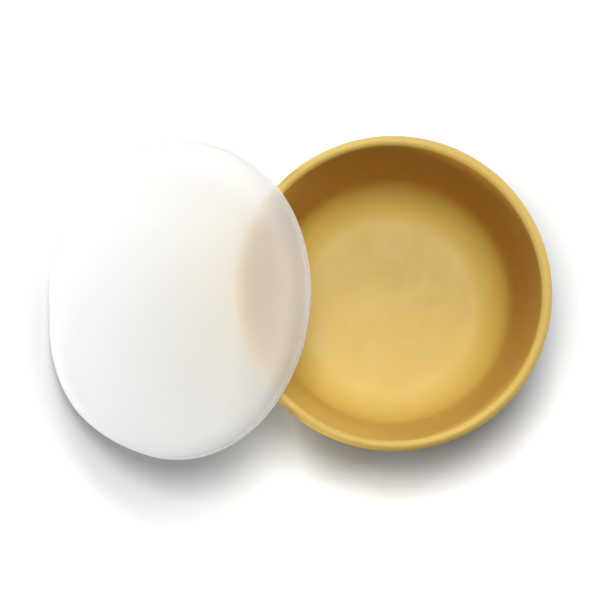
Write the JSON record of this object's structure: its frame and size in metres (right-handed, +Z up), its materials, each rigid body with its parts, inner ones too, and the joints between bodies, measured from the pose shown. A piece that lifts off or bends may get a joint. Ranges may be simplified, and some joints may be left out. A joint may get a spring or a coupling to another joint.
{
  "type": "silicone bowl with lid",
  "caption": "Round mustard silicone food bowl with a thick rounded rim, and its thin milky silicone lid taken off and leaning against the rim.",
  "frame": {"origin": "centre of the bowl's flat foot, on the surface that the bowl stands on", "axes": "+Z up along the bowl's axis of revolution, +X away from the side that the lid leans on, +Y to the left of +X"},
  "size_m": [0.2121, 0.134, 0.0777],
  "materials": {
    "bowl_silicone": "soft matt mustard yellow silicone, moulded in one piece",
    "lid_silicone": "satin milky white translucent silicone, moulded in one piece"
  },
  "bodies": {
    "bowl": {"bowl": "bowl_silicone"},
    "lid": {"lid": "lid_silicone"}
  },
  "joints": [
    {"name": "lid_lift", "type": "slide", "parent": "bowl", "child": "lid", "axis": [0, 0, 1], "range_m": [0, 0.09]}
  ]
}
